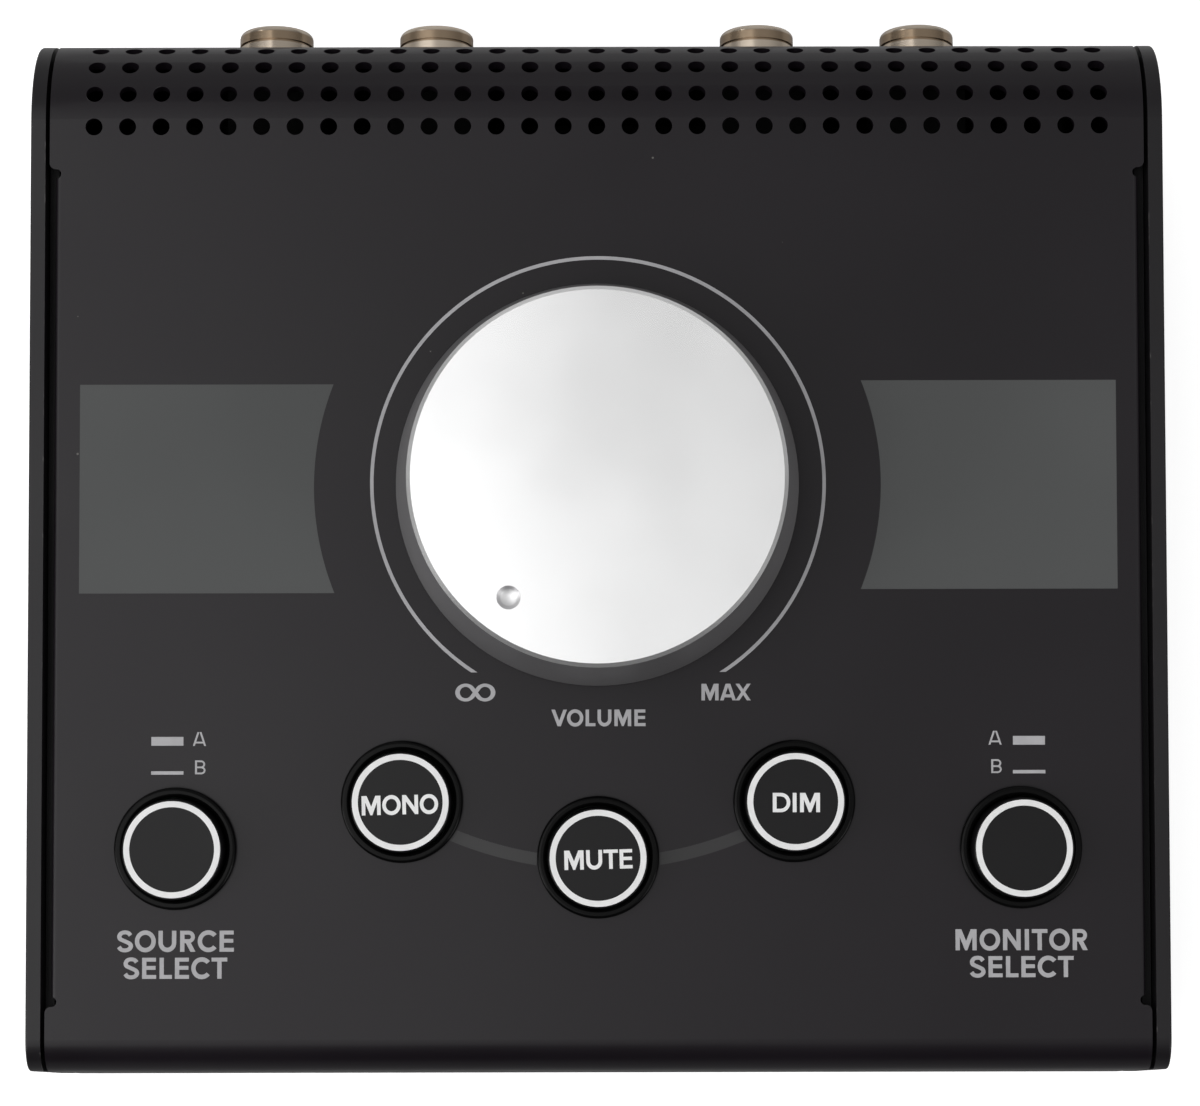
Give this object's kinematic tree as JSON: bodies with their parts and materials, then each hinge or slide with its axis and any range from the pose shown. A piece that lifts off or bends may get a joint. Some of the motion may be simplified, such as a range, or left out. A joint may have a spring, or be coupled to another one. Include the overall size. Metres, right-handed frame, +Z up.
{
  "type": "studio monitor controller",
  "caption": "Desktop monitor controller: sloping sheet-steel case with side cheeks, a large volume knob, round push buttons, a perforated rear bend and jack sockets.",
  "frame": {"origin": "on the desk, under the middle of the bounding box", "axes": "+X to the user's right, +Y to the rear where the jacks are, +Z up"},
  "size_m": [0.1854, 0.1752, 0.077],
  "materials": {
    "panel_black": "fine satin powder coat",
    "case_black": "fine satin powder coat",
    "cheek_black": "satin paint, worn at the rims",
    "screw_black": "black oxide",
    "zinc_steel": "zinc plated",
    "foot_rubber": "matt",
    "pot_black": "moulded",
    "pot_brass": "turned and threaded",
    "shaft_aluminium": "turned",
    "knob_black": "soft satin",
    "disc_aluminium": "satin with a cut chamfer",
    "board_green": "solder mask",
    "jack_black": "moulded",
    "contact_brass": "tinned",
    "jack_nickel": "nickel plated, slightly warm",
    "ribbon_grey": "ribbed",
    "header_black": "moulded",
    "print_grey": "screen-printed legends on the panel",
    "print_field": "screen-printed writing fields on the panel",
    "print_white": "printed rings and names on the caps",
    "bezel_gloss": "polished",
    "cap_black": "satin with printed ring and legend",
    "plunger_white": "moulded",
    "switch_black": "moulded",
    "spring_steel": "drawn wire"
  },
  "bodies": {
    "case": {"top_cover": "panel_black", "base_tray": "case_black", "rear_panel": "case_black", "left_cheek": "cheek_black", "right_cheek": "cheek_black", "cheek_screws": "screw_black", "rear_screws": "screw_black", "press_nuts": "zinc_steel", "foot_front_left": "foot_rubber", "foot_front_right": "foot_rubber", "foot_rear_left": "foot_rubber", "foot_rear_right": "foot_rubber", "pot_body": "pot_black", "pot_bushing": "pot_brass", "pot_washer": "zinc_steel", "pot_nut": "zinc_steel", "control_board": "board_green", "jack_board": "board_green", "board_standoffs": "zinc_steel", "board_screws": "zinc_steel", "jack_bodies": "jack_black", "jack_contacts": "contact_brass", "jack_washers": "jack_nickel", "jack_nuts": "jack_nickel", "ribbon_cable": "ribbon_grey", "ribbon_headers": "header_black", "mono_bezel": "bezel_gloss", "mono_switch": "switch_black", "mono_spring": "spring_steel", "mute_bezel": "bezel_gloss", "mute_switch": "switch_black", "mute_spring": "spring_steel", "dim_bezel": "bezel_gloss", "dim_switch": "switch_black", "dim_spring": "spring_steel", "source_select_bezel": "bezel_gloss", "source_select_switch": "switch_black", "source_select_spring": "spring_steel", "monitor_select_bezel": "bezel_gloss", "monitor_select_switch": "switch_black", "monitor_select_spring": "spring_steel"},
    "knob": {"knob_body": "knob_black", "knob_disc": "disc_aluminium", "knob_clip": "zinc_steel", "pot_shaft": "shaft_aluminium"},
    "mono_push": {"mono_button": "cap_black", "mono_plunger": "plunger_white"},
    "mute_push": {"mute_button": "cap_black", "mute_plunger": "plunger_white"},
    "dim_push": {"dim_button": "cap_black", "dim_plunger": "plunger_white"},
    "source_select_push": {"source_select_button": "cap_black", "source_select_plunger": "plunger_white"},
    "monitor_select_push": {"monitor_select_button": "cap_black", "monitor_select_plunger": "plunger_white"}
  },
  "joints": [
    {"name": "knob_turn", "type": "hinge", "parent": "case", "child": "knob", "pos_m": [0, 0.0067, 0.054], "axis": [0, 0.1045, -0.9945], "range_deg": [0, 287.6]},
    {"name": "mono_press", "type": "slide", "parent": "case", "child": "mono_push", "axis": [0, 0.1045, -0.9945], "range_m": [0, 0.003], "stiffness_N_per_m": 300, "springref_m": -0.002, "deforming": ["mono_spring"]},
    {"name": "mute_press", "type": "slide", "parent": "case", "child": "mute_push", "axis": [0, 0.1045, -0.9945], "range_m": [0, 0.003], "stiffness_N_per_m": 300, "springref_m": -0.002, "deforming": ["mute_spring"]},
    {"name": "dim_press", "type": "slide", "parent": "case", "child": "dim_push", "axis": [0, 0.1045, -0.9945], "range_m": [0, 0.003], "stiffness_N_per_m": 300, "springref_m": -0.002, "deforming": ["dim_spring"]},
    {"name": "source_select_press", "type": "slide", "parent": "case", "child": "source_select_push", "axis": [0, 0.1045, -0.9945], "range_m": [0, 0.003], "stiffness_N_per_m": 300, "springref_m": -0.002, "deforming": ["source_select_spring"]},
    {"name": "monitor_select_press", "type": "slide", "parent": "case", "child": "monitor_select_push", "axis": [0, 0.1045, -0.9945], "range_m": [0, 0.003], "stiffness_N_per_m": 300, "springref_m": -0.002, "deforming": ["monitor_select_spring"]}
  ]
}
